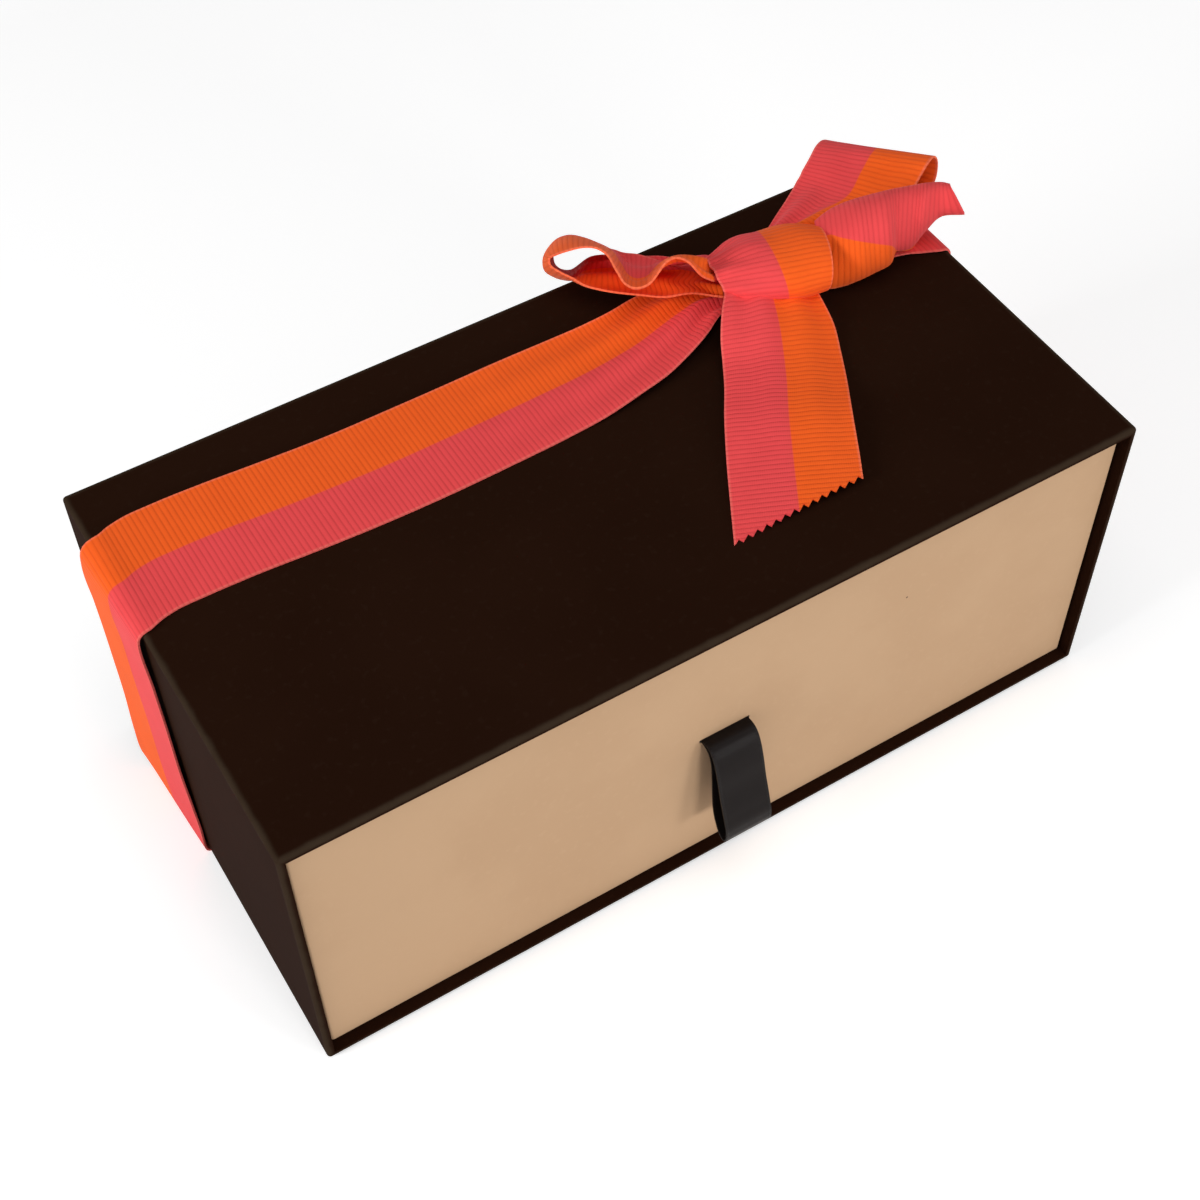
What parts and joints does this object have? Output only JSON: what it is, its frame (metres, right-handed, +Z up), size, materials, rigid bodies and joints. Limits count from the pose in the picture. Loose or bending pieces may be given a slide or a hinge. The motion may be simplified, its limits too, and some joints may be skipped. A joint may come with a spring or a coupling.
{
  "type": "sunglasses box",
  "caption": "Rigid rectangular gift box with a dark sleeve, a pale sliding drawer with a ribbon pull tab, and a two-colour ribbon tied round it in a bow",
  "frame": {"origin": "middle of the sleeve's underside", "axes": "+X along the box towards the end with the bow, +Y from the drawer's front to the back wall, +Z up"},
  "size_m": [0.1948, 0.118, 0.0974],
  "materials": {
    "greyboard": "matte",
    "dark_paper": "satin",
    "black_paper": "matte",
    "cream_paper": "matte",
    "satin_ribbon": "satin",
    "grosgrain_ribbon": "matte"
  },
  "bodies": {
    "sleeve": {"sleeve_top_board": "greyboard", "sleeve_bottom_board": "greyboard", "sleeve_back_board": "greyboard", "sleeve_left_board": "greyboard", "sleeve_right_board": "greyboard", "sleeve_cover": "dark_paper", "sleeve_lining": "black_paper", "ribbon_band": "grosgrain_ribbon", "bow_knot": "grosgrain_ribbon", "bow_left_loop": "grosgrain_ribbon", "bow_back_loop": "grosgrain_ribbon", "bow_front_tail": "grosgrain_ribbon", "bow_right_tail": "grosgrain_ribbon"},
    "drawer": {"drawer_floor_board": "greyboard", "drawer_front_board": "greyboard", "drawer_back_board": "greyboard", "drawer_left_board": "greyboard", "drawer_right_board": "greyboard", "drawer_cover": "cream_paper", "drawer_lining": "cream_paper", "tab_tails": "satin_ribbon", "tab_patch": "cream_paper"},
    "pull_tab": {"pull_tab_loop": "satin_ribbon"}
  },
  "joints": [
    {"name": "drawer_slide", "type": "slide", "parent": "sleeve", "child": "drawer", "axis": [0, -1, 0], "range_m": [0, 0.09]},
    {"name": "pull_tab_swing", "type": "hinge", "parent": "drawer", "child": "pull_tab", "pos_m": [-0.0008, -0.04515, 0.0399], "axis": [-1, 0, 0], "range_deg": [-12, 70]}
  ]
}
